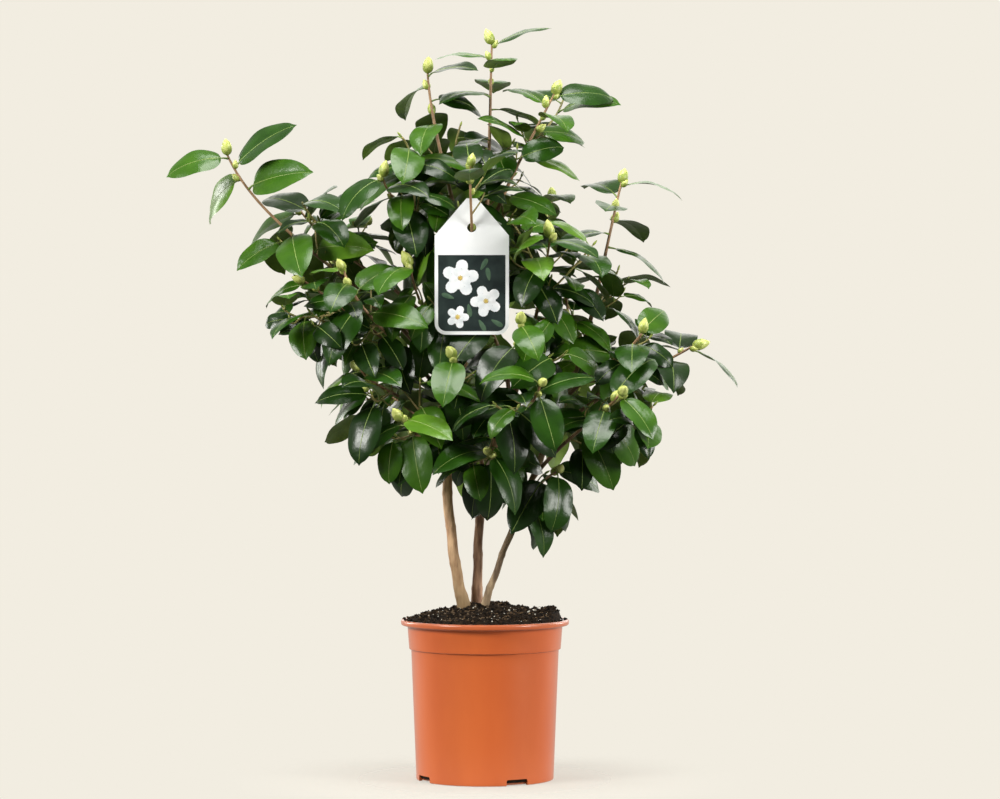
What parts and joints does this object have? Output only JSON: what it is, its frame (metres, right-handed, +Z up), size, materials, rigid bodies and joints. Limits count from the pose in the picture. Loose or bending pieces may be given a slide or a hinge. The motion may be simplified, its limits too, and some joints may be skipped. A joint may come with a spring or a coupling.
{
  "type": "potted camellia shrub",
  "caption": "Camellia shrub in a round plastic nursery pot: bare stems rise from the compost to an open crown of glossy leaves with plump flower buds, and a picture tag hangs in front.",
  "frame": {"origin": "centre of the pot's flat underside, at ground level", "axes": "+Z up, -Y towards the plant's front, where the tag hangs"},
  "size_m": [0.6572, 0.4305, 0.8728],
  "materials": {
    "pot": "satin terracotta-coloured plastic",
    "soil": "moist crumbly compost",
    "bark": "thin tan bark, browner on young twigs",
    "foliage": "glossy leathery leaves",
    "tag": "coated card"
  },
  "bodies": {
    "root": {"bough_back_left_low": "bark", "bough_back_left_mid": "bark", "bough_back_low": "bark", "bough_back_mid": "bark", "bough_back_right_low": "bark", "bough_back_right_mid": "bark", "bough_bud_front": "bark", "bough_centre_front": "bark", "bough_centre_low": "bark", "bough_left_inner": "bark", "bough_left_low": "bark", "bough_left_mid": "bark", "bough_left_out": "bark", "bough_lower_left": "bark", "bough_middle_top": "bark", "bough_right_far": "bark", "bough_right_front": "bark", "bough_right_shoulder": "bark", "bough_top_left": "bark", "bough_top_right": "bark", "bough_upper_left": "bark", "bough_upper_right": "bark", "leaves_back_high": "foliage", "leaves_back_left_low": "foliage", "leaves_back_left_mid": "foliage", "leaves_back_low": "foliage", "leaves_back_mid": "foliage", "leaves_back_right_high": "foliage", "leaves_back_right_low": "foliage", "leaves_back_right_mid": "foliage", "leaves_bud_front": "foliage", "leaves_centre_front": "foliage", "leaves_centre_left": "foliage", "leaves_centre_low": "foliage", "leaves_centre_mid": "foliage", "leaves_left_high": "foliage", "leaves_left_inner": "foliage", "leaves_left_low": "foliage", "leaves_left_mid": "foliage", "leaves_left_out": "foliage", "leaves_lower_centre": "foliage", "leaves_lower_left": "foliage", "leaves_lower_right": "foliage", "leaves_middle_top": "foliage", "leaves_right_far": "foliage", "leaves_right_front": "foliage", "leaves_right_inner": "foliage", "leaves_right_shoulder": "foliage", "leaves_right_top": "foliage", "leaves_top_left": "foliage", "leaves_top_right": "foliage", "leaves_upper_left": "foliage", "leaves_upper_right": "foliage", "pot": "pot", "soil": "soil", "stem_left": "bark", "stem_middle": "bark", "stem_right": "bark", "tag": "tag"}
  },
  "joints": []
}
